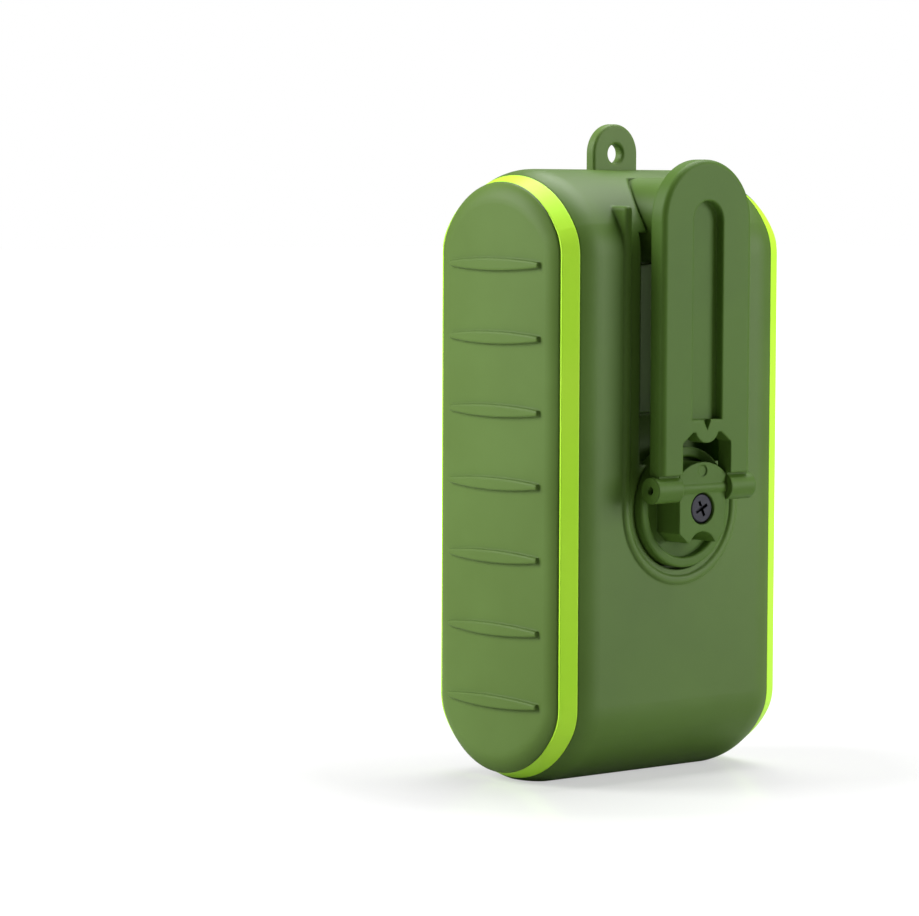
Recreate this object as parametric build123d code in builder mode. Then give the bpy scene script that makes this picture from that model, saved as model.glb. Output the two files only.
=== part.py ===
from build123d import *
import math
import os

os.makedirs("parts", exist_ok=True)

# Hand crank phone charger, millimetres. +Z up, standing on its foot.
# -Y is the solar face, +Y the crank face, -X the port side.

# case
CASE_DEEP = 21.6  # half depth at the middle
CASE_TOP = 126.5
FOOT_SINK = 0.7  # trimmed off the round bottom
CORNER_R = 12.3
CORNER_RISE = 17.5
CORE_HALF = 27.0
SEAM_DROP = 1.3
EDGE_R = 10.0
CASE_WALL = 3.4
SPLIT_Y = -3.0
SEAM_GAP = 0.08

# lime bands and side grips
BAND_WIDE = 3.5
BAND_DROP = 1.6
BAND_LIP = 2.0
BAND_FRAME = 4.7
FIT_GAP = 0.1
GRIP_RISE = 2.2
GRIP_CROWN_R = 150.0
GRIP_EDGE_R = 5.5
GRIP_OVER = 1.4  # how far the full round edge would stand outside the band
GRIP_WALL = 1.85
SKIRT_DEEP = 6.2
RIB_COUNT = 7
RIB_PITCH = 15.0
RIB_MID_Z = 62.0
RIB_HALF = 13.8
RIB_HIGH = 0.8
RIB_EDGE_R = 0.3
RIB_MID_HALF = 1.3
RIB_END_HALF = 0.55

# ports
SLOT_Y = 2.3
SLOT_Z = 25.35
SLOT_WIDE = 8.5
SLOT_TALL = 29.6
SLOT_DEEP = 2.7
SLOT_CORNER = 2.8
COVER_TALL = 14.6
COVER_SIDE_GAP = 0.6
COVER_END_GAP = 1.2
COVER_PROUD = 0.9
RAIL_DEEP = 0.8
RAIL_WIDE = 0.75
SLIDE_GAP = 0.06
BOARD_Y = 4.9
BOARD_THICK = 1.6
BOARD_WIDE = 11.8
BOARD_TALL = 51.0
BOARD_BOTTOM = 9.0
PORT_SET_BACK = 0.6
MICRO_Z = 16.6
MICRO_WIDE = 7.5
MICRO_THICK = 2.6
MICRO_DEEP = 5.5
USB_WIDE = 13.1
USB_THICK = 5.7
USB_DEEP = 13.8
SHELL_SHEET = 0.35

# solar panel
PANEL_WIDE = 42.0
PANEL_TALL = 93.2
PANEL_BOTTOM = 15.8
PANEL_THICK = 1.3
PANEL_RECESS = 0.9
PANEL_GAP = 0.1
CELL_BORDER = 2.8
CELL_THICK = 0.25

# battery
BATTERY_WIDE = 44.0
BATTERY_TALL = 91.4
BATTERY_THICK = 9.4
BATTERY_BOTTOM = 17.2

# lanyard loop
LOOP_HALF = 6.2
LOOP_THICK = 2.6
LOOP_HOLE_R = 2.0
LOOP_CENTRE_Z = 129.8
LOOP_ROOT_Z = 121.4
LOOP_FOOT = 1.9

# crank
HUB_Z = 57.0
DISC_R = 12.5
DISC_GAP = 0.6
DISC_BACK = 18.9
DISC_FLOOR = 21.6
DISC_RIM = 23.4
RIM_WIDE = 2.1
BLOCK_HALF = 6.5
BLOCK_R = 9.6
BLOCK_FACE = 28.3
HEAD_SEAT = 26.3
HUB_SHAFT_R = 3.0
SHAFT_TOP = 24.4
SCREW_HEAD_R = 3.1
CROSS_TURN = 25.0
SCREW_HEAD = 1.75
SCREW_R = 1.25
PIN_Y = 27.2
PIN_Z = 61.2
PIN_R = 0.8
KNUCKLE_R = 1.5  # on the hub
BARREL_R = 2.75  # on the arm
BARREL_PROUD = 1.2  # past each side of the arm
BARREL_STEP_Z = 64.2
BARREL_STEP = 1.1
ARM_FACE = 29.5
ARM_THICK = 3.8
ARM_HALF = 12.5
ARM_END_Z = 116.0
ARM_EDGE_R = 1.2
LEG_GAP = 0.3
WINDOW_TOP = 72.8
WINDOW_SIDE_TOP = 70.7
WINDOW_TOP_HALF = 4.0
TONGUE_R = 3.4
TONGUE_Z = 74.0
NOTCH_GAP = 0.5
GROOVE_HALF = 4.1
GROOVE_LOW = 75.4
GROOVE_DEEP = 1.9
GROOVE_EDGE_R = 0.35
NOTCH_HALF = 1.3
RUN_GAP = 0.04

# handle knob and its rest
KNOB_R = 8.8
KNOB_LONG = 3.1
KNOB_ARM_GAP = 0.1
KNOB_REST_GAP = 0.3
KNOB_POST_R = 2.0
KNOB_WEB = 1.5
KNOB_HEAD_R = 3.2
WELL_GAP = 0.5
WELL_FLOOR = 9.0

# channel and ridges on the crank face
CHANNEL_HALF = 11.5
CHANNEL_FLOOR = 10.0
CHANNEL_LOW = 76.0
CHANNEL_TOP = 113.5
APRON_FLOOR = 16.4
APRON_LOW = 66.0
POCKET_WALL = 2.0
RIDGE_IN = 14.2
RIDGE_WIDE = 2.0
RIDGE_FACE = 22.1
RIDGE_TOP = 119.0

# gear train, tooth module 0.5
TOOTH = 0.5
TEETH_DRIVE = 60
TEETH_PINION = 12
TEETH_WHEEL_ONE = 48
TEETH_WHEEL_TWO = 40
TEETH_ROTOR = 10
TIP_HIGH = 0.42
ROOT_DEEP = 0.6
BACKLASH = 0.12
IDLER_ONE_X = 4.0
IDLER_TWO_X = 12.0
ROTOR_X = 0.0
AXLE_R = 1.0
ROTOR_SHAFT_R = 0.8
DRIVE_Y = (11.6, 14.0)
WHEEL_ONE_Y = (8.4, 10.6)
WHEEL_TWO_Y = (5.0, 7.0)
PLATE_IN_Y = (2.6, 4.0)
PLATE_OUT_Y = (14.8, 16.0)
PLATE_PORT_GAP = 0.6  # to the end of the port socket
PLATE_WALL_GAP = 2.7  # to the end of the case core
PLATE_LOW = 11.5
PLATE_HIGH = 48.0
PILLAR_EDGE = 2.5
PILLAR_R = 2.2
BUSH_R = 4.2
BUSH_FLANGE_R = 5.4
CAN_R = 12.5
CAN_DEEP = 10.0
CAN_WALL = 0.9
MAGNET_R = 5.0
COIL_IN = 5.6


# derived places
CROWN_R = ((CASE_DEEP - CORNER_R) ** 2 + CORNER_RISE**2 - CORNER_R**2) / (2 * (CORNER_RISE - CORNER_R))
CASE_LOW = -FOOT_SINK
ARC_Y = CASE_DEEP - CORNER_R
ARC_TOP_Z = CASE_TOP - CORNER_RISE
ARC_LOW_Z = CASE_LOW + CORNER_RISE
CROWN_TOP_Z = CASE_TOP - CROWN_R
CROWN_LOW_Z = CASE_LOW + CROWN_R
CORNER_TURN = math.degrees(math.atan2(ARC_TOP_Z - CROWN_TOP_Z, ARC_Y))
BAND_X = CORE_HALF + SEAM_GAP
BAND_OUT = CORE_HALF + BAND_WIDE
BAND_INSET = SEAM_DROP + BAND_DROP
FRAME_INSET = SEAM_DROP + BAND_FRAME
PLUG_INSET = FRAME_INSET + 0.15
GRIP_X = BAND_OUT + 0.05
GRIP_TOP = BAND_OUT + GRIP_RISE
PLUG_IN = GRIP_TOP - GRIP_WALL - SLOT_DEEP + 0.6
SLOT_FLOOR = GRIP_TOP - SLOT_DEEP
WELL_R = KNOB_R + WELL_GAP
BLOCK_LOW = PIN_Z - (WINDOW_TOP - PIN_Z) + 0.4
BLOCK_SIDE_LOW = PIN_Z - (WINDOW_SIDE_TOP - PIN_Z) + 0.4
SCALLOP_Z = PIN_Z - (TONGUE_Z - PIN_Z)
ARM_BACK = ARM_FACE - ARM_THICK
KNOB_TOP = ARM_BACK - KNOB_ARM_GAP
KNOB_END = KNOB_TOP - KNOB_LONG
REST_TOP = KNOB_END - KNOB_REST_GAP
STEP_ONE = TOOTH * (TEETH_DRIVE + TEETH_PINION) / 2
STEP_TWO = TOOTH * (TEETH_WHEEL_ONE + TEETH_PINION) / 2
STEP_THREE = TOOTH * (TEETH_WHEEL_TWO + TEETH_ROTOR) / 2
HUB_POINT = (0.0, HUB_Z)
IDLER_ONE = (IDLER_ONE_X, HUB_Z - math.sqrt(STEP_ONE**2 - IDLER_ONE_X**2))
IDLER_TWO = (
    IDLER_TWO_X,
    IDLER_ONE[1] - math.sqrt(STEP_TWO**2 - (IDLER_TWO_X - IDLER_ONE_X) ** 2),
)
ROTOR = (ROTOR_X, IDLER_TWO[1] - math.sqrt(STEP_THREE**2 - (IDLER_TWO_X - ROTOR_X) ** 2))
CAVITY_Y = CASE_DEEP - CASE_WALL
BOARD_X = -CORE_HALF
BOARD_POSTS = (BOARD_BOTTOM + 4.0, BOARD_BOTTOM + BOARD_TALL - 4.0)
BOARD_POST_X = BOARD_X + BOARD_WIDE / 2
PORT_X = -SLOT_FLOOR + PORT_SET_BACK
PLATE_SIDE = (PORT_X + USB_DEEP + PLATE_PORT_GAP, CORE_HALF - PLATE_WALL_GAP)
PILLARS = (
    (PLATE_SIDE[0] + PILLAR_EDGE, 42.5),
    (PLATE_SIDE[1] - PILLAR_EDGE - 2.3, 45.0),
    (-6.0, 15.0),
    (PLATE_SIDE[1] - PILLAR_EDGE, 14.0),
)
CELL_WIDE = PANEL_WIDE - 2 * CELL_BORDER
CELL_TALL = PANEL_TALL - 2 * CELL_BORDER


def side_face(inset, x):
    """Side profile of the case at x, shrunk evenly by the inset."""
    half = CASE_DEEP - inset
    small = CORNER_R - inset
    large = CROWN_R - inset
    span = 180 - 2 * CORNER_TURN
    with BuildSketch(Plane.YZ.offset(x), mode=Mode.PRIVATE) as profile:
        with BuildLine():
            Line((half, ARC_LOW_Z), (half, ARC_TOP_Z))
            CenterArc((ARC_Y, ARC_TOP_Z), small, 0, CORNER_TURN)
            CenterArc((0, CROWN_TOP_Z), large, CORNER_TURN, span)
            CenterArc((-ARC_Y, ARC_TOP_Z), small, 180 - CORNER_TURN, CORNER_TURN)
            Line((-half, ARC_TOP_Z), (-half, ARC_LOW_Z))
            CenterArc((-ARC_Y, ARC_LOW_Z), small, 180, CORNER_TURN)
            CenterArc((0, CROWN_LOW_Z), large, 180 + CORNER_TURN, span)
            CenterArc((ARC_Y, ARC_LOW_Z), small, 360 - CORNER_TURN, CORNER_TURN)
        make_face()
    return profile.sketch


def side_prism(inset, x_from, x_to, mode=Mode.ADD):
    extrude(side_face(inset, x_from), amount=x_to - x_from, mode=mode)


def block(x, y, z, mode=Mode.ADD):
    """Box between the pairs x, y and z."""
    with Locations(((x[0] + x[1]) / 2, (y[0] + y[1]) / 2, (z[0] + z[1]) / 2)):
        Box(x[1] - x[0], y[1] - y[0], z[1] - z[0], mode=mode)


def post(point, y, radius, mode=Mode.ADD):
    """Cylinder along Y at the (x, z) point."""
    with Locations((point[0], (y[0] + y[1]) / 2, point[1])):
        Cylinder(radius, y[1] - y[0], rotation=(90, 0, 0), mode=mode)


def bar(x, y, z, radius, mode=Mode.ADD):
    """Cylinder along X."""
    with Locations(((x[0] + x[1]) / 2, y, z)):
        Cylinder(radius, x[1] - x[0], rotation=(0, 90, 0), mode=mode)


def back_plane(y):
    """Sketch plane at y, seen from the solar side: x right, z up."""
    return Plane(origin=(0, y, 0), x_dir=(1, 0, 0), z_dir=(0, -1, 0))


def gear(point, teeth, y, first_turn, mode=Mode.ADD):
    """Spur gear along Y with one tooth centred at first_turn."""
    radius = TOOTH * teeth / 2
    half = (math.pi * TOOTH / 4 - BACKLASH / 2) / radius
    corners = []
    for index in range(teeth):
        turn = math.radians(first_turn) + index * 2 * math.pi / teeth
        for reach, share in ((-ROOT_DEEP, -1.6), (TIP_HIGH, -0.5), (TIP_HIGH, 0.5), (-ROOT_DEEP, 1.6)):
            angle = turn + half * share
            size = radius + reach
            corners.append((point[0] + size * math.cos(angle), point[1] + size * math.sin(angle)))
    with BuildSketch(back_plane(y[1]), mode=Mode.PRIVATE) as shape:
        with BuildLine():
            Polyline(*corners, close=True)
        make_face()
    extrude(shape.sketch, amount=y[1] - y[0], mode=mode)


def heading(start, end):
    return math.degrees(math.atan2(end[1] - start[1], end[0] - start[0]))


# case core: a pillow-edged block that the two shells are cut from
EDGE_RUN = math.sqrt(2 * EDGE_R * SEAM_DROP - SEAM_DROP**2)
BLOCK_END = CORE_HALF - EDGE_RUN + EDGE_R
with BuildPart() as core:
    side_prism(0, -BLOCK_END, BLOCK_END)
    rims = core.edges().filter_by_position(Axis.X, BLOCK_END - 0.01, BLOCK_END + 0.01)
    rims += core.edges().filter_by_position(Axis.X, -BLOCK_END - 0.01, -BLOCK_END + 0.01)
    fillet(rims, EDGE_R)
    block((-CORE_HALF, CORE_HALF), (-40, 40), (0, 140), Mode.INTERSECT)

# front shell with the solar recess
with BuildPart() as front_shell:
    add(core.part)
    side_prism(CASE_WALL, -CORE_HALF - 1, CORE_HALF + 1, Mode.SUBTRACT)
    block((-40, 40), (SPLIT_Y - SEAM_GAP / 2, 40), (-10, 150), Mode.SUBTRACT)
    RECESS_FLOOR = -CASE_DEEP + PANEL_RECESS + PANEL_THICK
    with BuildSketch(back_plane(RECESS_FLOOR)):
        with Locations((0, PANEL_BOTTOM + PANEL_TALL / 2)):
            RectangleRounded(PANEL_WIDE + 2 * PANEL_GAP, PANEL_TALL + 2 * PANEL_GAP, 0.8)
    extrude(amount=5, mode=Mode.SUBTRACT)
    lead_z = PANEL_BOTTOM + PANEL_TALL - 4
    block((-4, 4), (-CASE_DEEP, -CAVITY_Y + 1), (lead_z - 1.5, lead_z + 1.5), Mode.SUBTRACT)
front_shell.part.label = "front_shell"
export_step(front_shell.part, "parts/front_shell.step")

# pocket walls behind the crank face, kept inside the case skin
with BuildPart() as pockets:
    wall_half = CHANNEL_HALF + POCKET_WALL
    block(
        (-wall_half, wall_half),
        (CHANNEL_FLOOR - POCKET_WALL, 30),
        (CHANNEL_LOW - POCKET_WALL, CHANNEL_TOP + POCKET_WALL),
    )
    post((0, ARM_END_Z), (WELL_FLOOR - POCKET_WALL, 30), WELL_R + POCKET_WALL)
    post(HUB_POINT, (DISC_BACK - 0.5 - POCKET_WALL - 0.2, 30), DISC_R + DISC_GAP + POCKET_WALL)
    block((-wall_half, wall_half), (APRON_FLOOR - 1.8, 30), (APRON_LOW - 1.0, CHANNEL_LOW))
    add(core.part, mode=Mode.INTERSECT)

# raised ridge that runs round the hub and up both sides of the arm
RIDGE_OUT = RIDGE_IN + RIDGE_WIDE
with BuildPart() as ridge:
    with BuildSketch(back_plane(RIDGE_FACE)):
        with Locations(HUB_POINT):
            Circle(RIDGE_OUT)
        with Locations((0, (HUB_Z + RIDGE_TOP) / 2)):
            Rectangle(2 * RIDGE_OUT, RIDGE_TOP - HUB_Z)
        with Locations(HUB_POINT):
            Circle(RIDGE_IN, mode=Mode.SUBTRACT)
        with Locations((0, (HUB_Z + RIDGE_TOP) / 2 + 5)):
            Rectangle(2 * RIDGE_IN, RIDGE_TOP - HUB_Z + 10, mode=Mode.SUBTRACT)
    extrude(amount=RIDGE_FACE - 12)
    ridge_ends = ridge.edges().filter_by(Axis.Y).filter_by_position(Axis.Z, RIDGE_TOP - 0.01, RIDGE_TOP + 0.01)
    fillet(ridge_ends, RIDGE_WIDE / 2 - 0.1)
    ridge_tops = ridge.edges().filter_by_position(Axis.Y, RIDGE_FACE - 0.01, RIDGE_FACE + 0.01)
    fillet(ridge_tops, 0.7)

# back shell with the hub recess, the arm channel and the knob well
HUB_FLOOR = DISC_BACK - 0.5
with BuildPart() as back_shell:
    add(core.part)
    add(ridge.part)
    side_prism(CASE_WALL, -CORE_HALF - 1, CORE_HALF + 1, Mode.SUBTRACT)
    add(pockets.part)
    block((-40, 40), (-40, SPLIT_Y + SEAM_GAP / 2), (-10, 150), Mode.SUBTRACT)
    block((-CHANNEL_HALF, CHANNEL_HALF), (CHANNEL_FLOOR, 40), (CHANNEL_LOW, CHANNEL_TOP), Mode.SUBTRACT)
    block((-CHANNEL_HALF, CHANNEL_HALF), (APRON_FLOOR, 40), (APRON_LOW, CHANNEL_LOW), Mode.SUBTRACT)
    post(HUB_POINT, (HUB_FLOOR, 40), DISC_R + DISC_GAP, Mode.SUBTRACT)
    post((0, ARM_END_Z), (WELL_FLOOR, 40), WELL_R, Mode.SUBTRACT)
    post((0, ARM_END_Z), (0, WELL_FLOOR + 1), 3.0, Mode.SUBTRACT)
    post(HUB_POINT, (10, HUB_FLOOR + 1), BUSH_R, Mode.SUBTRACT)
    for pillar in PILLARS:
        post(pillar, (PLATE_OUT_Y[1], CAVITY_Y + 0.4), PILLAR_R + 0.4)
        post(pillar, (PLATE_OUT_Y[1] - 1, CAVITY_Y), AXLE_R, Mode.SUBTRACT)
    for post_z in BOARD_POSTS:
        post((BOARD_POST_X, post_z), (BOARD_Y + BOARD_THICK, CAVITY_Y + 0.4), 2.0)
        post((BOARD_POST_X, post_z), (BOARD_Y, BOARD_Y + BOARD_THICK), 0.95)
    slot_half = LOOP_HALF + FIT_GAP
    slot_deep = LOOP_THICK / 2 + FIT_GAP
    block((-slot_half, slot_half), (-slot_deep, slot_deep), (LOOP_ROOT_Z - 1, 140), Mode.SUBTRACT)
back_shell.part.label = "back_shell"
export_step(back_shell.part, "parts/back_shell.step")

# lime bands between the core and the grips
with BuildPart() as right_band:
    loft([side_face(SEAM_DROP, BAND_X), side_face(BAND_INSET, BAND_OUT)], ruled=True)
    side_prism(CASE_WALL + FIT_GAP, CORE_HALF - BAND_LIP, BAND_X)
    side_prism(FRAME_INSET, CORE_HALF - BAND_LIP - 1, BAND_OUT + 1, Mode.SUBTRACT)
    block((0, 60), (-40, 40), (0, 140), Mode.INTERSECT)
right_band.part.label = "right_band"
export_step(right_band.part, "parts/right_band.step")

with BuildPart() as left_band:
    mirror(right_band.part, about=Plane.YZ)
left_band.part.label = "left_band"
export_step(left_band.part, "parts/left_band.step")

# side grips: a pillow-edged plate with seven spindle ribs and a skirt
with BuildPart() as crown:
    with Locations((GRIP_TOP - GRIP_CROWN_R, 0, 60)):
        Cylinder(GRIP_CROWN_R, 200)

with BuildPart() as rib_crown:
    with Locations((GRIP_TOP - GRIP_CROWN_R, 0, 60)):
        Cylinder(GRIP_CROWN_R + RIB_HIGH, 200)

with BuildPart() as ribs:
    with BuildSketch(Plane.YZ.offset(BAND_OUT + 0.2)):
        for index in range(RIB_COUNT):
            z = RIB_MID_Z + (index - (RIB_COUNT - 1) / 2) * RIB_PITCH
            with BuildLine():
                ThreePointArc((-RIB_HALF, z + RIB_END_HALF), (0, z + RIB_MID_HALF), (RIB_HALF, z + RIB_END_HALF))
                Line((RIB_HALF, z + RIB_END_HALF), (RIB_HALF, z - RIB_END_HALF))
                ThreePointArc((RIB_HALF, z - RIB_END_HALF), (0, z - RIB_MID_HALF), (-RIB_HALF, z - RIB_END_HALF))
                Line((-RIB_HALF, z - RIB_END_HALF), (-RIB_HALF, z + RIB_END_HALF))
            make_face()
    extrude(amount=GRIP_RISE + RIB_HIGH + 2)
    add(rib_crown.part, mode=Mode.INTERSECT)
    rib_tops = ribs.faces().filter_by_position(Axis.X, GRIP_TOP + 0.2, GRIP_TOP + RIB_HIGH + 0.1)
    fillet(rib_tops.edges(), RIB_EDGE_R)

with BuildPart() as right_grip:
    side_prism(BAND_INSET - GRIP_OVER, CORE_HALF - 4, GRIP_TOP + 2)
    add(crown.part, mode=Mode.INTERSECT)
    outer = right_grip.faces().sort_by(Axis.X)[-1]
    fillet(outer.edges(), GRIP_EDGE_R)
    block((GRIP_X, 60), (-40, 40), (-10, 150), Mode.INTERSECT)
    add(ribs.part)
    side_prism(PLUG_INSET, CORE_HALF - BAND_LIP - 0.5, GRIP_X)
    side_prism(PLUG_INSET + 1.8, CORE_HALF - BAND_LIP - 1, PLUG_IN, Mode.SUBTRACT)
    block((0, 60), (-40, 40), (0.3, 140), Mode.INTERSECT)
right_grip.part.label = "right_grip"
export_step(right_grip.part, "parts/right_grip.step")

with BuildPart() as left_grip:
    mirror(right_grip.part, about=Plane.YZ)
    with BuildSketch(Plane.YZ.offset(-SLOT_FLOOR)):
        with Locations((SLOT_Y, SLOT_Z)):
            RectangleRounded(SLOT_WIDE, SLOT_TALL, SLOT_CORNER)
    extrude(amount=-8, mode=Mode.SUBTRACT)
    rail_half = SLOT_WIDE / 2 + RAIL_WIDE
    block(
        (-SLOT_FLOOR - RAIL_DEEP, -SLOT_FLOOR),
        (SLOT_Y - rail_half, SLOT_Y + rail_half),
        (SLOT_Z - SLOT_TALL / 2 + 0.35, SLOT_Z + SLOT_TALL / 2 - 0.35),
        Mode.SUBTRACT,
    )
    MICRO_Y = BOARD_Y - MICRO_THICK / 2
    USB_Y = BOARD_Y - USB_THICK / 2
    COVER_Z = SLOT_Z + SLOT_TALL / 2 - COVER_END_GAP - COVER_TALL / 2
    with BuildSketch(Plane.YZ.offset(-SLOT_FLOOR - 1)):
        with Locations((MICRO_Y, MICRO_Z)):
            RectangleRounded(MICRO_THICK + 0.6, MICRO_WIDE + 0.6, 1.3)
        with Locations((USB_Y, COVER_Z)):
            RectangleRounded(USB_THICK + 0.4, USB_WIDE + 0.4, 0.5)
    extrude(amount=6, mode=Mode.SUBTRACT)
left_grip.part.label = "left_grip"
export_step(left_grip.part, "parts/left_grip.step")

# sliding port cover on two side rails
with BuildPart() as port_cover:
    cover_half = SLOT_WIDE / 2 - COVER_SIDE_GAP
    with BuildSketch(Plane.YZ.offset(-SLOT_FLOOR - SLIDE_GAP)):
        with Locations((SLOT_Y, COVER_Z)):
            RectangleRounded(2 * cover_half, COVER_TALL, 1.1)
    extrude(amount=-(SLOT_DEEP + COVER_PROUD - SLIDE_GAP))
    top_face = port_cover.faces().sort_by(Axis.X)[0]
    fillet(top_face.edges(), 0.5)
    for step in (-1, 0, 1):
        rib_z = COVER_Z + step * 3.4
        outer_x = -SLOT_FLOOR - SLOT_DEEP - COVER_PROUD
        with Locations((outer_x, SLOT_Y, rib_z)):
            Box(0.7, 2 * cover_half - 1.4, 0.8)
    flange_half = rail_half - 0.2
    block(
        (-SLOT_FLOOR - RAIL_DEEP + SLIDE_GAP * 2, -SLOT_FLOOR - SLIDE_GAP),
        (SLOT_Y - flange_half, SLOT_Y + flange_half),
        (COVER_Z - COVER_TALL / 2 + 0.3, COVER_Z + COVER_TALL / 2 - 0.3),
    )
port_cover.part.label = "port_cover"
export_step(port_cover.part, "parts/port_cover.step")

# solar panel: black backing and the cell field
with BuildPart() as solar_backing:
    with BuildSketch(back_plane(RECESS_FLOOR)):
        with Locations((0, PANEL_BOTTOM + PANEL_TALL / 2)):
            RectangleRounded(PANEL_WIDE, PANEL_TALL, 0.7)
    extrude(amount=PANEL_THICK)
solar_backing.part.label = "solar_backing"
export_step(solar_backing.part, "parts/solar_backing.step")

with BuildPart() as solar_cells:
    cell_y = RECESS_FLOOR - PANEL_THICK
    panel_mid = PANEL_BOTTOM + PANEL_TALL / 2
    block(
        (-CELL_WIDE / 2, CELL_WIDE / 2),
        (cell_y - CELL_THICK, cell_y),
        (panel_mid - CELL_TALL / 2, panel_mid + CELL_TALL / 2),
    )
solar_cells.part.label = "solar_cells"
export_step(solar_cells.part, "parts/solar_cells.step")

# battery pouch against the front wall
with BuildPart() as battery:
    block(
        (-BATTERY_WIDE / 2, BATTERY_WIDE / 2),
        (-CAVITY_Y, -CAVITY_Y + BATTERY_THICK),
        (BATTERY_BOTTOM, BATTERY_BOTTOM + BATTERY_TALL),
    )
    upright = battery.edges().filter_by(Axis.Z).sort_by(Axis.Y)[-2:]
    fillet(upright, 2.5)
battery.part.label = "battery"
export_step(battery.part, "parts/battery.step")

# lanyard loop, trapped by its foot under the roof of the case
with BuildPart() as lanyard_loop:
    with BuildSketch(back_plane(LOOP_THICK / 2)):
        with Locations((0, LOOP_CENTRE_Z)):
            Circle(LOOP_HALF)
        with Locations((0, (LOOP_ROOT_Z + LOOP_CENTRE_Z) / 2)):
            Rectangle(2 * LOOP_HALF, LOOP_CENTRE_Z - LOOP_ROOT_Z)
        with Locations((0, LOOP_CENTRE_Z)):
            Circle(LOOP_HOLE_R, mode=Mode.SUBTRACT)
    extrude(amount=LOOP_THICK)
    arcs = lanyard_loop.edges().filter_by(GeomType.CIRCLE)
    fillet(arcs, 0.6)
    block(
        (-LOOP_HALF - 1.5, LOOP_HALF + 1.5),
        (-LOOP_THICK, LOOP_THICK),
        (LOOP_ROOT_Z - 0.4, LOOP_ROOT_Z - 0.4 + LOOP_FOOT),
    )
lanyard_loop.part.label = "lanyard_loop"
export_step(lanyard_loop.part, "parts/lanyard_loop.step")

# crank hub: dished disc with the arm block, hinge knuckle and screw seat
with BuildPart() as crank_hub:
    post(HUB_POINT, (DISC_BACK, DISC_RIM), DISC_R)
    post(HUB_POINT, (DISC_FLOOR, DISC_RIM + 1), DISC_R - RIM_WIDE, Mode.SUBTRACT)
    rim_edges = crank_hub.edges().filter_by_position(Axis.Y, DISC_RIM - 0.01, DISC_RIM + 0.01)
    fillet(rim_edges, 0.5)
    with BuildSketch(back_plane(BLOCK_FACE)):
        with Locations(HUB_POINT):
            Circle(BLOCK_R)
        with BuildLine():
            Polyline(
                (-BLOCK_HALF, BLOCK_SIDE_LOW),
                (-WINDOW_TOP_HALF, BLOCK_LOW),
                (WINDOW_TOP_HALF, BLOCK_LOW),
                (BLOCK_HALF, BLOCK_SIDE_LOW),
                (BLOCK_HALF, HUB_Z + 20),
                (-BLOCK_HALF, HUB_Z + 20),
                close=True,
            )
        make_face(mode=Mode.INTERSECT)
        with Locations((0, SCALLOP_Z)):
            Circle(TONGUE_R + NOTCH_GAP, mode=Mode.SUBTRACT)
    extrude(amount=BLOCK_FACE - DISC_FLOOR)
    bar((-BLOCK_HALF, BLOCK_HALF), PIN_Y, PIN_Z, KNUCKLE_R)
    post(HUB_POINT, (HEAD_SEAT, 32), SCREW_HEAD_R + 0.2, Mode.SUBTRACT)
    post(HUB_POINT, (15, 32), SCREW_R + 0.15, Mode.SUBTRACT)
    post(HUB_POINT, (15, SHAFT_TOP), HUB_SHAFT_R, Mode.SUBTRACT)
    post((0, PIN_Z + KNUCKLE_R + 2.1), (BLOCK_FACE - 0.25, 32), 1.2, Mode.SUBTRACT)
    bar((-BLOCK_HALF - 1, BLOCK_HALF + 1), PIN_Y, PIN_Z, PIN_R, Mode.SUBTRACT)
crank_hub.part.label = "crank_hub"
export_step(crank_hub.part, "parts/crank_hub.step")

with BuildPart() as hub_screw:
    post(HUB_POINT, (HEAD_SEAT, HEAD_SEAT + SCREW_HEAD), SCREW_HEAD_R)
    head_rim = hub_screw.edges().filter_by_position(
        Axis.Y, HEAD_SEAT + SCREW_HEAD - 0.01, HEAD_SEAT + SCREW_HEAD + 0.01
    )
    fillet(head_rim, 0.5)
    for turn in (CROSS_TURN, CROSS_TURN + 90):
        with Locations((0, HEAD_SEAT + SCREW_HEAD, HUB_Z)):
            Box(3.4, 1.6, 0.7, rotation=(0, turn, 0), mode=Mode.SUBTRACT)
    post(HUB_POINT, (DRIVE_Y[1] + 2, HEAD_SEAT), SCREW_R)
hub_screw.part.label = "hub_screw"
export_step(hub_screw.part, "parts/hub_screw.step")

with BuildPart() as hinge_pin:
    bar((-ARM_HALF - BARREL_PROUD + 0.6, ARM_HALF - 0.5), PIN_Y, PIN_Z, PIN_R)
hinge_pin.part.label = "hinge_pin"
export_step(hinge_pin.part, "parts/hinge_pin.step")

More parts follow.
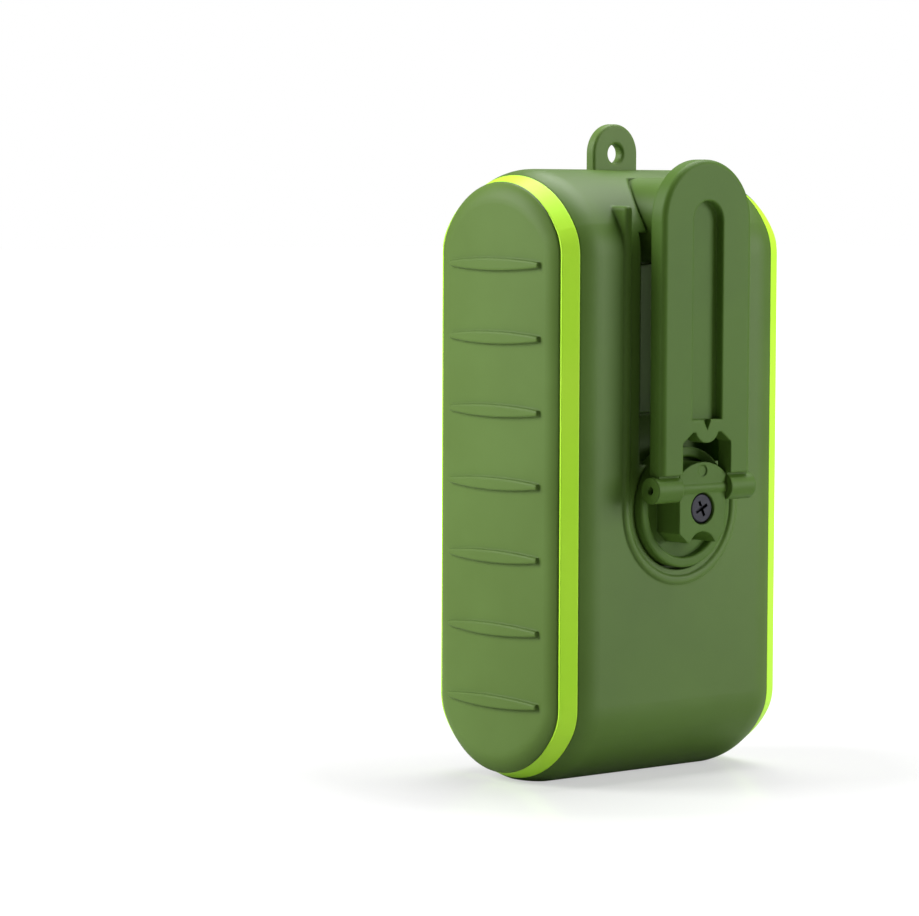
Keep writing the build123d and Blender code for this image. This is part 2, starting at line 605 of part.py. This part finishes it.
# crank arm: forked plate, half-round tongue, long groove, barrels and knob post
with BuildPart() as crank_arm:
    with BuildSketch(back_plane(ARM_FACE)):
        with Locations((0, (PIN_Z + ARM_END_Z) / 2)):
            Rectangle(2 * ARM_HALF, ARM_END_Z - PIN_Z)
        with Locations((0, ARM_END_Z)):
            Circle(ARM_HALF)
    extrude(amount=ARM_THICK)
    border = crank_arm.edges().filter_by_position(Axis.Y, ARM_FACE - 0.01, ARM_FACE + 0.01)
    fillet(border.sort_by(Axis.Z)[1:], ARM_EDGE_R)
    with BuildSketch(back_plane(ARM_FACE + 2)):
        window_half = BLOCK_HALF + LEG_GAP
        with BuildLine():
            Polyline(
                (-window_half, PIN_Z - 4),
                (-window_half, WINDOW_SIDE_TOP),
                (-WINDOW_TOP_HALF, WINDOW_TOP),
                (WINDOW_TOP_HALF, WINDOW_TOP),
                (window_half, WINDOW_SIDE_TOP),
                (window_half, PIN_Z - 4),
                close=True,
            )
        make_face()
        with Locations((0, TONGUE_Z)):
            Circle(TONGUE_R, mode=Mode.SUBTRACT)
    extrude(amount=ARM_THICK + 4, mode=Mode.SUBTRACT)
    with BuildSketch(back_plane(ARM_FACE + 1)):
        with Locations((0, (GROOVE_LOW + ARM_END_Z) / 2)):
            Rectangle(2 * GROOVE_HALF, ARM_END_Z - GROOVE_LOW)
        with Locations((0, ARM_END_Z)):
            Circle(GROOVE_HALF)
    extrude(amount=1 + GROOVE_DEEP, mode=Mode.SUBTRACT)
    inner_rim = crank_arm.edges().filter_by_position(Axis.Y, ARM_FACE - 0.01, ARM_FACE + 0.01)
    inner_rim = inner_rim.filter_by_position(Axis.X, -GROOVE_HALF - 0.05, GROOVE_HALF + 0.05)
    fillet(inner_rim.filter_by_position(Axis.Z, GROOVE_LOW - 0.05, ARM_END_Z + GROOVE_HALF), GROOVE_EDGE_R)
    with BuildSketch(back_plane(ARM_FACE + 1)):
        with BuildLine():
            Polyline(
                (-NOTCH_HALF, GROOVE_LOW + 0.5),
                (NOTCH_HALF, GROOVE_LOW + 0.5),
                (0, GROOVE_LOW - 2.2),
                close=True,
            )
        make_face()
    extrude(amount=1 + GROOVE_DEEP - 0.4, mode=Mode.SUBTRACT)
    block((-20, 20), (ARM_FACE - BARREL_STEP, 40), (50, BARREL_STEP_Z), Mode.SUBTRACT)
    barrel_end = ARM_HALF + BARREL_PROUD
    bar((BLOCK_HALF + LEG_GAP, barrel_end), PIN_Y, PIN_Z, BARREL_R)
    bar((-barrel_end, -BLOCK_HALF - LEG_GAP), PIN_Y, PIN_Z, BARREL_R)
    bar((-barrel_end + 0.5, barrel_end + 1), PIN_Y, PIN_Z, PIN_R + RUN_GAP, Mode.SUBTRACT)
    post((0, ARM_END_Z), (KNOB_END + KNOB_WEB, ARM_BACK), KNOB_POST_R)
    post((0, ARM_END_Z), (KNOB_END, ARM_FACE - GROOVE_DEEP - 0.5), AXLE_R, Mode.SUBTRACT)
crank_arm.part.label = "crank_arm"
export_step(crank_arm.part, "parts/crank_arm.step")

# low handle knob that turns on the arm's post
HEAD_TOP = KNOB_END + KNOB_WEB
with BuildPart() as crank_knob:
    post((0, ARM_END_Z), (KNOB_END, KNOB_TOP), KNOB_R)
    knob_rims = crank_knob.edges().filter_by(GeomType.CIRCLE)
    fillet(knob_rims, 0.5)
    post((0, ARM_END_Z), (KNOB_END - 1, HEAD_TOP + 0.1), KNOB_HEAD_R + 0.2, Mode.SUBTRACT)
    post((0, ARM_END_Z), (KNOB_END - 1, KNOB_TOP + 1), KNOB_POST_R + RUN_GAP, Mode.SUBTRACT)
crank_knob.part.label = "crank_knob"
export_step(crank_knob.part, "parts/crank_knob.step")

with BuildPart() as knob_screw:
    post((0, ARM_END_Z), (KNOB_END + 0.2, HEAD_TOP), KNOB_HEAD_R)
    for turn in (0, 90):
        with Locations((0, KNOB_END, ARM_END_Z)):
            Box(2.6, 1.6, 0.6, rotation=(0, turn, 0), mode=Mode.SUBTRACT)
    post((0, ARM_END_Z), (HEAD_TOP, ARM_FACE - GROOVE_DEEP - 0.6), AXLE_R)
knob_screw.part.label = "knob_screw"
export_step(knob_screw.part, "parts/knob_screw.step")

# rest in the well that the folded knob sits over
with BuildPart() as knob_rest:
    post((0, ARM_END_Z), (WELL_FLOOR, REST_TOP), KNOB_R)
    rest_top = knob_rest.edges().filter_by_position(Axis.Y, REST_TOP - 0.01, REST_TOP + 0.01)
    fillet(rest_top, 0.5)
    post((0, ARM_END_Z), (WELL_FLOOR - POCKET_WALL, WELL_FLOOR), 3.0)
knob_rest.part.label = "knob_rest"
export_step(knob_rest.part, "parts/knob_rest.step")

# bushing for the hub shaft
with BuildPart() as hub_bushing:
    post(HUB_POINT, (PLATE_OUT_Y[0] + 0.4, HUB_FLOOR), BUSH_R)
    post(HUB_POINT, (HUB_FLOOR, DISC_BACK - 0.1), BUSH_FLANGE_R)
    post(HUB_POINT, (10, 20), HUB_SHAFT_R + RUN_GAP, Mode.SUBTRACT)
hub_bushing.part.label = "hub_bushing"
export_step(hub_bushing.part, "parts/hub_bushing.step")

# drive gear with the hub shaft in one piece
HEAD_ONE = heading(HUB_POINT, IDLER_ONE)
HEAD_TWO = heading(IDLER_ONE, IDLER_TWO)
HEAD_THREE = heading(IDLER_TWO, ROTOR)
with BuildPart() as drive_gear:
    gear(HUB_POINT, TEETH_DRIVE, DRIVE_Y, HEAD_ONE)
    post(HUB_POINT, (DRIVE_Y[1], PLATE_OUT_Y[0] + 0.3), HUB_SHAFT_R + 1)
    post(HUB_POINT, (DRIVE_Y[0], SHAFT_TOP), HUB_SHAFT_R)
    post(HUB_POINT, (DRIVE_Y[1] + 2, SHAFT_TOP + 1), SCREW_R, Mode.SUBTRACT)
drive_gear.part.label = "drive_gear"
export_step(drive_gear.part, "parts/drive_gear.step")

with BuildPart() as idler_gear_one:
    half_step = 180 / TEETH_PINION
    gear(IDLER_ONE, TEETH_WHEEL_ONE, WHEEL_ONE_Y, HEAD_TWO)
    gear(IDLER_ONE, TEETH_PINION, (WHEEL_ONE_Y[1], PLATE_OUT_Y[0] - 0.4), HEAD_ONE + 180 + half_step)
    post(IDLER_ONE, (PLATE_IN_Y[1] + 0.2, WHEEL_ONE_Y[0]), 1.9)
    post(IDLER_ONE, (0, 20), AXLE_R + RUN_GAP, Mode.SUBTRACT)
idler_gear_one.part.label = "idler_gear_one"
export_step(idler_gear_one.part, "parts/idler_gear_one.step")

with BuildPart() as idler_gear_two:
    gear(IDLER_TWO, TEETH_WHEEL_TWO, WHEEL_TWO_Y, HEAD_THREE)
    gear(IDLER_TWO, TEETH_PINION, (WHEEL_TWO_Y[1], WHEEL_ONE_Y[1] + 0.4), HEAD_TWO + 180 + half_step)
    post(IDLER_TWO, (PLATE_IN_Y[1] + 0.2, WHEEL_TWO_Y[0]), 1.9)
    post(IDLER_TWO, (WHEEL_ONE_Y[1] + 0.4, PLATE_OUT_Y[0] - 0.4), 1.9)
    post(IDLER_TWO, (0, 20), AXLE_R + RUN_GAP, Mode.SUBTRACT)
idler_gear_two.part.label = "idler_gear_two"
export_step(idler_gear_two.part, "parts/idler_gear_two.step")

with BuildPart() as gear_axle_one:
    post(IDLER_ONE, (PLATE_IN_Y[0] + 0.1, PLATE_OUT_Y[1]), AXLE_R)
gear_axle_one.part.label = "gear_axle_one"
export_step(gear_axle_one.part, "parts/gear_axle_one.step")

with BuildPart() as gear_axle_two:
    post(IDLER_TWO, (PLATE_IN_Y[0] + 0.1, PLATE_OUT_Y[1]), AXLE_R)
gear_axle_two.part.label = "gear_axle_two"
export_step(gear_axle_two.part, "parts/gear_axle_two.step")

# gearbox plates on four pillars, screwed to the back shell
with BuildPart() as gearbox_frame:
    block(PLATE_SIDE, PLATE_IN_Y, (PLATE_LOW, PLATE_HIGH))
    for pillar in PILLARS:
        post(pillar, (PLATE_IN_Y[1], PLATE_OUT_Y[0]), PILLAR_R)
        post(pillar, (0, 20), AXLE_R + 0.1, Mode.SUBTRACT)
    post(IDLER_ONE, (0, 20), AXLE_R, Mode.SUBTRACT)
    post(IDLER_TWO, (0, 20), AXLE_R, Mode.SUBTRACT)
    post(ROTOR, (0, 20), ROTOR_SHAFT_R + RUN_GAP, Mode.SUBTRACT)
gearbox_frame.part.label = "gearbox_frame"
export_step(gearbox_frame.part, "parts/gearbox_frame.step")

with BuildPart() as gearbox_cover:
    block(PLATE_SIDE, PLATE_OUT_Y, (PLATE_LOW, PLATE_HIGH))
    post(HUB_POINT, PLATE_OUT_Y, BUSH_R + 3.4)
    block((-BUSH_R, BUSH_R), PLATE_OUT_Y, (PLATE_HIGH - 1, HUB_Z - BUSH_R))
    for pillar in PILLARS:
        post(pillar, (10, 20), AXLE_R + 0.1, Mode.SUBTRACT)
    post(IDLER_ONE, (0, 20), AXLE_R, Mode.SUBTRACT)
    post(IDLER_TWO, (0, 20), AXLE_R, Mode.SUBTRACT)
    post(HUB_POINT, (10, 20), BUSH_R + 0.1, Mode.SUBTRACT)
gearbox_cover.part.label = "gearbox_cover"
export_step(gearbox_cover.part, "parts/gearbox_cover.step")

# long screws through the pillars
with BuildPart() as gearbox_screw_1:
    post(PILLARS[0], (PLATE_IN_Y[0], CAVITY_Y - 0.6), AXLE_R)
    post(PILLARS[0], (PLATE_IN_Y[0] - 1.3, PLATE_IN_Y[0]), AXLE_R + 0.9)
gearbox_screw_1.part.label = "gearbox_screw_1"
export_step(gearbox_screw_1.part, "parts/gearbox_screw_1.step")

with BuildPart() as gearbox_screw_2:
    post(PILLARS[1], (PLATE_IN_Y[0], CAVITY_Y - 0.6), AXLE_R)
    post(PILLARS[1], (PLATE_IN_Y[0] - 1.3, PLATE_IN_Y[0]), AXLE_R + 0.9)
gearbox_screw_2.part.label = "gearbox_screw_2"
export_step(gearbox_screw_2.part, "parts/gearbox_screw_2.step")

with BuildPart() as gearbox_screw_3:
    post(PILLARS[2], (PLATE_IN_Y[0], CAVITY_Y - 0.6), AXLE_R)
gearbox_screw_3.part.label = "gearbox_screw_3"
export_step(gearbox_screw_3.part, "parts/gearbox_screw_3.step")

with BuildPart() as gearbox_screw_4:
    post(PILLARS[3], (PLATE_IN_Y[0], CAVITY_Y - 0.6), AXLE_R)
    post(PILLARS[3], (PLATE_IN_Y[0] - 1.3, PLATE_IN_Y[0]), AXLE_R + 0.9)
gearbox_screw_4.part.label = "gearbox_screw_4"
export_step(gearbox_screw_4.part, "parts/gearbox_screw_4.step")

# generator under the inner plate
CAN_Y = (PLATE_IN_Y[0] - CAN_DEEP, PLATE_IN_Y[0])
with BuildPart() as generator_can:
    post(ROTOR, CAN_Y, CAN_R)
    post(ROTOR, (CAN_Y[0] + CAN_WALL, 20), CAN_R - CAN_WALL, Mode.SUBTRACT)
    post(ROTOR, (-20, 20), ROTOR_SHAFT_R + RUN_GAP, Mode.SUBTRACT)
generator_can.part.label = "generator_can"
export_step(generator_can.part, "parts/generator_can.step")

with BuildPart() as generator_coil:
    post(ROTOR, (CAN_Y[0] + CAN_WALL, CAN_Y[1] - 1), CAN_R - CAN_WALL - 0.05)
    post(ROTOR, (-20, 20), COIL_IN, Mode.SUBTRACT)
generator_coil.part.label = "generator_coil"
export_step(generator_coil.part, "parts/generator_coil.step")

with BuildPart() as generator_rotor:
    post(ROTOR, (CAN_Y[0] + CAN_WALL + 0.5, CAN_Y[1] - 1), MAGNET_R)
    post(ROTOR, (CAN_Y[0] + 0.2, WHEEL_TWO_Y[1] + 0.9), ROTOR_SHAFT_R)
    rotor_half = 180 / TEETH_ROTOR
    gear(ROTOR, TEETH_ROTOR, (WHEEL_TWO_Y[0] - 0.4, WHEEL_TWO_Y[1] + 0.5), HEAD_THREE + 180 + rotor_half)
generator_rotor.part.label = "generator_rotor"
export_step(generator_rotor.part, "parts/generator_rotor.step")

# charging board and its two sockets
with BuildPart() as circuit_board:
    block(
        (BOARD_X, BOARD_X + BOARD_WIDE),
        (BOARD_Y, BOARD_Y + BOARD_THICK),
        (BOARD_BOTTOM, BOARD_BOTTOM + BOARD_TALL),
    )
    for post_z in BOARD_POSTS:
        post((BOARD_POST_X, post_z), (0, 20), 1.0, Mode.SUBTRACT)
circuit_board.part.label = "circuit_board"
export_step(circuit_board.part, "parts/circuit_board.step")

with BuildPart() as power_coil:
    post((BOARD_POST_X + 1.5, 40), (BOARD_Y + BOARD_THICK, BOARD_Y + BOARD_THICK + 4), 3.5)
power_coil.part.label = "power_coil"
export_step(power_coil.part, "parts/power_coil.step")

with BuildPart() as power_chip:
    block(
        (BOARD_POST_X - 2, BOARD_POST_X + 3),
        (BOARD_Y + BOARD_THICK, BOARD_Y + BOARD_THICK + 1.4),
        (24, 30),
    )
power_chip.part.label = "power_chip"
export_step(power_chip.part, "parts/power_chip.step")

with BuildPart() as micro_usb_socket:
    mouth = MICRO_THICK - 2 * SHELL_SHEET
    wide = MICRO_WIDE - 2 * SHELL_SHEET
    with BuildSketch(Plane.YZ.offset(PORT_X)):
        with Locations((MICRO_Y, MICRO_Z)):
            RectangleRounded(MICRO_THICK, MICRO_WIDE, 0.8)
    extrude(amount=MICRO_DEEP)
    with BuildSketch(Plane.YZ.offset(PORT_X)):
        with Locations((MICRO_Y, MICRO_Z)):
            RectangleRounded(mouth, wide, 0.6)
    extrude(amount=MICRO_DEEP - 1, mode=Mode.SUBTRACT)
    block(
        (PORT_X + 0.4, PORT_X + MICRO_DEEP - 0.5),
        (MICRO_Y - 0.3, MICRO_Y + 0.3),
        (MICRO_Z - 2.5, MICRO_Z + 2.5),
    )
micro_usb_socket.part.label = "micro_usb_socket"
export_step(micro_usb_socket.part, "parts/micro_usb_socket.step")

with BuildPart() as usb_a_socket:
    block(
        (PORT_X, PORT_X + USB_DEEP),
        (USB_Y - USB_THICK / 2, USB_Y + USB_THICK / 2),
        (COVER_Z - USB_WIDE / 2, COVER_Z + USB_WIDE / 2),
    )
    block(
        (PORT_X - 1, PORT_X + USB_DEEP - 1.5),
        (USB_Y - USB_THICK / 2 + SHELL_SHEET, USB_Y + USB_THICK / 2 - SHELL_SHEET),
        (COVER_Z - USB_WIDE / 2 + SHELL_SHEET, COVER_Z + USB_WIDE / 2 - SHELL_SHEET),
        Mode.SUBTRACT,
    )
    block(
        (PORT_X + 0.6, PORT_X + USB_DEEP - 0.5),
        (USB_Y + 0.2, USB_Y + 1.9),
        (COVER_Z - 5.5, COVER_Z + 5.5),
    )
usb_a_socket.part.label = "usb_a_socket"
export_step(usb_a_socket.part, "parts/usb_a_socket.step")
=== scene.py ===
import math

import bpy
from mathutils import Matrix, Vector

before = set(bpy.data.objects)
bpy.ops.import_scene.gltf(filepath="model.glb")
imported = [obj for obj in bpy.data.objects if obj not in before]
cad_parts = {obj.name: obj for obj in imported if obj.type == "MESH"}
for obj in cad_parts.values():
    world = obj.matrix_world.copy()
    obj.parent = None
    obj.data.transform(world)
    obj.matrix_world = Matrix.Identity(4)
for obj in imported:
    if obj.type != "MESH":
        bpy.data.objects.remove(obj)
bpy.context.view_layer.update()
print("stage: frame loaded,", len(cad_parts), "nodes")

mm = 0.001
white = (1, 1, 1, 1)


# helpers for materials

def linear(red, green, blue):
    # colour in 0..255, turned to the linear values that sockets take
    out = []
    for value in (red, green, blue):
        share = value / 255
        out.append(share / 12.92 if share <= 0.04045 else ((share + 0.055) / 1.055) ** 2.4)
    return (*out, 1)


def newMaterial(name):
    material = bpy.data.materials.new(name)
    material.use_nodes = True
    tree = material.node_tree
    return material, tree, tree.nodes["Principled BSDF"]


def feed(tree, entry, value):
    # an output is linked in, a plain value is set
    if isinstance(value, bpy.types.NodeSocket):
        tree.links.new(value, entry)
    else:
        entry.default_value = value


def addNode(tree, kind, inputs):
    node = tree.nodes.new(kind)
    for key, value in inputs.items():
        feed(tree, node.inputs[key], value)
    return node


def mathNode(tree, operation, first, second=0.5):
    node = addNode(tree, "ShaderNodeMath", {0: first, 1: second})
    node.operation = operation
    return node.outputs["Value"]


def mapRange(tree, value, toMin, toMax, fromMin=0.0, fromMax=1.0, curve="LINEAR"):
    spans = {"From Min": fromMin, "From Max": fromMax, "To Min": toMin, "To Max": toMax}
    node = addNode(tree, "ShaderNodeMapRange", {"Value": value, **spans})
    node.interpolation_type = curve
    return node.outputs["Result"]


def mixColours(tree, share, low, high):
    node = tree.nodes.new("ShaderNodeMix")
    node.data_type = "RGBA"
    for key, value in (("Factor", share), ("A", low), ("B", high)):
        feed(tree, node.inputs[key], value)
    return node.outputs["Result"]


def noise(tree, place, scale, detail, roughness=0.6):
    shape = {"Vector": place, "Scale": scale, "Detail": detail, "Roughness": roughness}
    return addNode(tree, "ShaderNodeTexNoise", shape).outputs["Fac"]


def objectPlace(tree):
    return tree.nodes.new("ShaderNodeTexCoord").outputs["Object"]


def placeAxes(tree):
    return addNode(tree, "ShaderNodeSeparateXYZ", {"Vector": objectPlace(tree)}).outputs


def tintRamp(tree, source, low, high, start, end):
    ramp = addNode(tree, "ShaderNodeValToRGB", {"Fac": source})
    for stop, (position, colour) in enumerate(((start, low), (end, high))):
        ramp.color_ramp.elements[stop].position = position
        ramp.color_ramp.elements[stop].color = colour
    return ramp.outputs["Color"]


# moulded plastics: roughness, edge rounding in mm and shine can be set for each

mould = {
    "mottleScale": 38, "mottleDetail": 3, "mottleRough": 0.55, "mottleSpan": (0.35, 0.65),
    "grainScale": 2600, "grainDetail": 2, "grainStrength": 0.06, "grainDepth": 0.04,
    "roughLess": 0.03, "roughMore": 0.05, "bevelSamples": 6,
}
plastics = {
    "caseGreen": {"low": (80, 110, 40), "high": (85, 116, 45), "edge": 0.7},
    "crankGreen": {"low": (76, 107, 38), "high": (81, 113, 43), "edge": 0.5, "shine": 0.16},
    "gripGreen": {"low": (92, 121, 50), "high": (97, 127, 56), "roughness": 0.5},
    "bandLime": {"low": (192, 255, 56), "high": (198, 255, 64), "roughness": 0.4, "edge": 0.3},
    "blackPlastic": {"low": (24, 24, 26), "high": (30, 30, 33), "roughness": 0.3, "edge": 0.15},
    "gearboxBlack": {"low": (34, 34, 36), "high": (44, 44, 46), "roughness": 0.5},
    "gearNylon": {"low": (222, 219, 206), "high": (232, 229, 216), "roughness": 0.4, "edge": 0.1},
    "boardGreen": {"low": (16, 84, 44), "high": (20, 96, 52), "roughness": 0.28, "edge": 0.1},
    "chipBlack": {"low": (26, 26, 28), "high": (32, 32, 34), "roughness": 0.5, "edge": 0.1},
}


def softPlastic(name, low, high, roughness=0.46, edge=0.6, shine=0.25):
    # faint mottling, fine grain, edges eased by the bevel node
    material, tree, shader = newMaterial(name)
    place = objectPlace(tree)
    mottle = noise(tree, place, mould["mottleScale"], mould["mottleDetail"], mould["mottleRough"])
    tint = tintRamp(tree, mottle, linear(*low), linear(*high), *mould["mottleSpan"])
    rough = mapRange(tree, mottle, roughness - mould["roughLess"], roughness + mould["roughMore"])
    eased = addNode(tree, "ShaderNodeBevel", {"Radius": edge * mm})
    eased.samples = mould["bevelSamples"]
    fine = noise(tree, place, mould["grainScale"], mould["grainDetail"])
    bump = addNode(tree, "ShaderNodeBump", {
        "Strength": mould["grainStrength"], "Distance": mould["grainDepth"] * mm,
        "Height": fine, "Normal": eased.outputs["Normal"],
    })
    look = {"Base Color": tint, "Roughness": rough, "Normal": bump.outputs["Normal"],
            "Specular IOR Level": shine}
    for key, value in look.items():
        feed(tree, shader.inputs[key], value)
    return material


# plated and brushed metals: squeeze packs the streaks closer along an axis

brushing = {"scale": 160, "detail": 3, "span": (0.3, 0.7), "dim": 0.82, "roughLess": 0.06, "roughMore": 0.12}
metals = {
    "steel": {"colour": (196, 197, 200), "roughness": 0.3},
    "portMetal": {"colour": (226, 224, 216), "roughness": 0.22},
    "screwBlack": {"colour": (46, 46, 50), "roughness": 0.42},
    "generatorMetal": {"colour": (170, 171, 176), "roughness": 0.35, "squeeze": (1, 40, 1)},
    "copper": {"colour": (196, 112, 66), "roughness": 0.35, "squeeze": (1, 80, 1)},
    "batteryFoil": {"colour": (205, 207, 211), "roughness": 0.4, "squeeze": (4, 4, 4)},
}


def brushedMetal(name, colour, roughness, squeeze=(1, 1, 60)):
    material, tree, shader = newMaterial(name)
    bright = linear(*colour)
    dim = (*(brushing["dim"] * value for value in bright[:3]), 1)
    mapping = addNode(tree, "ShaderNodeMapping", {"Vector": objectPlace(tree), "Scale": squeeze})
    streak = noise(tree, mapping.outputs["Vector"], brushing["scale"], brushing["detail"])
    rough = mapRange(tree, streak, roughness - brushing["roughLess"], roughness + brushing["roughMore"])
    tint = tintRamp(tree, streak, dim, bright, *brushing["span"])
    for key, value in {"Base Color": tint, "Roughness": rough, "Metallic": 1.0}.items():
        feed(tree, shader.inputs[key], value)
    return material


# solar cells: dark, resin-coated, with thin finger lines across, sizes in mm

solar = {
    "cellViolet": (30, 31, 52), "cellBlue": (36, 40, 68), "finger": (118, 118, 138),
    "cloudScale": 26, "cloudDetail": 4, "cloudSpan": (0.3, 0.7),
    "lowLine": 18.6, "pitch": 1.73, "lineWide": 0.15, "wornLeast": 0.55,
    "roughness": 0.3, "shine": 0.2,
}


def solarCell():
    material, tree, shader = newMaterial("solarCell")
    axes = placeAxes(tree)
    cloud = noise(tree, objectPlace(tree), solar["cloudScale"], solar["cloudDetail"])
    violet, blue = linear(*solar["cellViolet"]), linear(*solar["cellBlue"])
    cell = tintRamp(tree, cloud, violet, blue, *solar["cloudSpan"])
    height = mathNode(tree, "SUBTRACT", axes["Z"], solar["lowLine"] * mm)
    fromLine = mathNode(tree, "PINGPONG", height, solar["pitch"] * mm / 2)
    halfLine = solar["lineWide"] * mm / 2
    line = mapRange(tree, fromLine, 1, 0, halfLine, 2 * halfLine, "SMOOTHSTEP")
    worn = mapRange(tree, cloud, solar["wornLeast"], 1)
    strength = mathNode(tree, "MULTIPLY", line, worn)
    tint = mixColours(tree, strength, cell, linear(*solar["finger"]))
    look = {"Base Color": tint, "Roughness": solar["roughness"], "Specular IOR Level": solar["shine"]}
    for key, value in look.items():
        feed(tree, shader.inputs[key], value)
    return material


# micro-USB socket: blackened shell round a pale contact tongue, sizes in mm

port = {
    "tongueY": 3.6, "tongueHalf": 0.32, "shell": (26, 26, 27), "tongue": (205, 203, 190),
    "roughness": 0.35,
}


def portShell():
    material, tree, shader = newMaterial("portShell")
    fromTongue = mathNode(tree, "SUBTRACT", placeAxes(tree)["Y"], port["tongueY"] * mm)
    onTongue = mathNode(tree, "LESS_THAN", mathNode(tree, "ABSOLUTE", fromTongue), port["tongueHalf"] * mm)
    tint = mixColours(tree, onTongue, linear(*port["shell"]), linear(*port["tongue"]))
    feed(tree, shader.inputs["Base Color"], tint)
    feed(tree, shader.inputs["Roughness"], port["roughness"])
    return material


finishes = {"solarCell": solarCell(), "portShell": portShell()}
for name, look in plastics.items():
    finishes[name] = softPlastic(name, **look)
for name, look in metals.items():
    finishes[name] = brushedMetal(name, **look)
print("stage: materials made,", len(finishes))


# which pieces have which finish

gearboxScrews = ["gearbox_screw_%d" % number for number in range(1, 5)]
nodeFinish = {
    "caseGreen": ["front_shell", "back_shell", "knob_rest"],
    "crankGreen": ["crank_hub", "crank_arm", "crank_knob"],
    "gripGreen": ["left_grip", "right_grip", "port_cover", "lanyard_loop"],
    "bandLime": ["left_band", "right_band"],
    "blackPlastic": ["solar_backing"],
    "solarCell": ["solar_cells"],
    "screwBlack": ["hub_screw", "knob_screw"],
    "steel": ["hinge_pin", "gear_axle_one", "gear_axle_two", *gearboxScrews],
    "portMetal": ["usb_a_socket"],
    "portShell": ["micro_usb_socket"],
    "gearNylon": ["drive_gear", "idler_gear_one", "idler_gear_two", "hub_bushing"],
    "gearboxBlack": ["gearbox_frame", "gearbox_cover"],
    "generatorMetal": ["generator_can", "generator_rotor"],
    "copper": ["generator_coil", "power_coil"],
    "batteryFoil": ["battery"],
    "boardGreen": ["circuit_board"],
    "chipBlack": ["power_chip"],
}
for finish, pieces in nodeFinish.items():
    for piece in pieces:
        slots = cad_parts[piece].data.materials
        slots.clear()
        slots.append(finishes[finish])
print("stage: finishes set")


# floor: grey to the lights, lifted to white for the camera away from the charger, in metres

floorLook = {
    "size": 12.0, "grey": 0.5, "roughness": 0.22, "shine": 0.5,
    "near": 0.06, "far": 0.26, "liftNear": 0.5, "liftFar": 1.3,
}


def whiteFloor():
    bpy.ops.object.select_all(action="DESELECT")
    bpy.ops.mesh.primitive_plane_add(size=floorLook["size"], location=(0, 0, 0))
    floor = bpy.context.active_object
    floor.name = "floor"
    material, tree, shader = newMaterial("floorWhite")
    span = addNode(tree, "ShaderNodeVectorMath", {0: objectPlace(tree)})
    span.operation = "LENGTH"
    fade = mapRange(tree, span.outputs["Value"], floorLook["liftNear"], floorLook["liftFar"],
                    floorLook["near"], floorLook["far"])
    rays = tree.nodes.new("ShaderNodeLightPath").outputs
    look = {
        "Base Color": (*(floorLook["grey"],) * 3, 1),
        "Roughness": floorLook["roughness"],
        "Specular IOR Level": floorLook["shine"],
        "Emission Color": white,
        "Emission Strength": mathNode(tree, "MULTIPLY", rays["Is Camera Ray"], fade),
    }
    for key, value in look.items():
        feed(tree, shader.inputs[key], value)
    floor.data.materials.append(material)


# world: white to the camera and through clear pieces, a low fill to everything else

skyLook = {"fill": 0.08, "seen": 1.0}


def studioWorld():
    world = bpy.data.worlds.new("studio")
    bpy.context.scene.world = world
    world.use_nodes = True
    tree = world.node_tree
    rays = tree.nodes.new("ShaderNodeLightPath").outputs
    straight = mathNode(tree, "MAXIMUM", rays["Is Camera Ray"], rays["Is Transmission Ray"])
    background = tree.nodes["Background"]
    feed(tree, background.inputs["Color"], white)
    feed(tree, background.inputs["Strength"], mapRange(tree, straight, skyLook["fill"], skyLook["seen"]))


# softboxes, in metres and watts

softboxes = {
    "topSoftbox": {"place": (-0.35, -0.1, 0.9), "aim": (0, 0, 0.08), "size": (0.9, 0.6), "watts": 12.5},
    "gripSoftbox": {"place": (0.75, -0.55, 0.55), "aim": (0, 0, 0.06), "size": (0.5, 0.7), "watts": 12.5},
    "crankSoftbox": {"place": (-0.7, 0.85, 0.3), "aim": (0, 0, 0.06), "size": (0.5, 0.7), "watts": 8.5},
}


def areaLight(name, place, aim, size, watts):
    bpy.ops.object.light_add(type="AREA", location=place)
    lamp = bpy.context.active_object
    lamp.name = name
    lamp.data.shape = "RECTANGLE"
    lamp.data.size, lamp.data.size_y = size
    lamp.data.energy = watts
    lamp.rotation_euler = (Vector(aim) - Vector(place)).to_track_quat("-Z", "Y").to_euler()


# camera: place in metres, look is its direction seen from above, tilt down and roll in radians

lens = {
    "place": (0.5419, 0.5891, 0.1214), "look": (-0.6474, -0.7622), "tilt": 0.0695, "roll": 0.0039,
    "focal": 148.9, "sensor": 36, "nearest": 0.01, "farthest": 50,
}


def photoCamera():
    bpy.ops.object.camera_add(location=lens["place"])
    camera = bpy.context.active_object
    camera.name = "photoCamera"
    lookX, lookY = lens["look"]
    flat = math.cos(lens["tilt"]) / math.hypot(lookX, lookY)
    direction = Vector((lookX * flat, lookY * flat, -math.sin(lens["tilt"])))
    level = direction.cross(Vector((0, 0, 1))).normalized()
    upright = level.cross(direction)
    right = math.cos(lens["roll"]) * level + math.sin(lens["roll"]) * upright
    above = math.cos(lens["roll"]) * upright - math.sin(lens["roll"]) * level
    camera.rotation_euler = Matrix((right, above, -direction)).transposed().to_euler()
    camera.data.lens = lens["focal"]
    camera.data.sensor_width = lens["sensor"]
    camera.data.sensor_fit = "HORIZONTAL"
    camera.data.clip_start = lens["nearest"]
    camera.data.clip_end = lens["farthest"]
    bpy.context.scene.camera = camera


whiteFloor()
studioWorld()
for name, box in softboxes.items():
    areaLight(name, **box)
print("stage: floor, world and softboxes set")
photoCamera()
bpy.context.scene.view_settings.view_transform = "Standard"
print("stage: camera set")

bpy.context.view_layer.update()
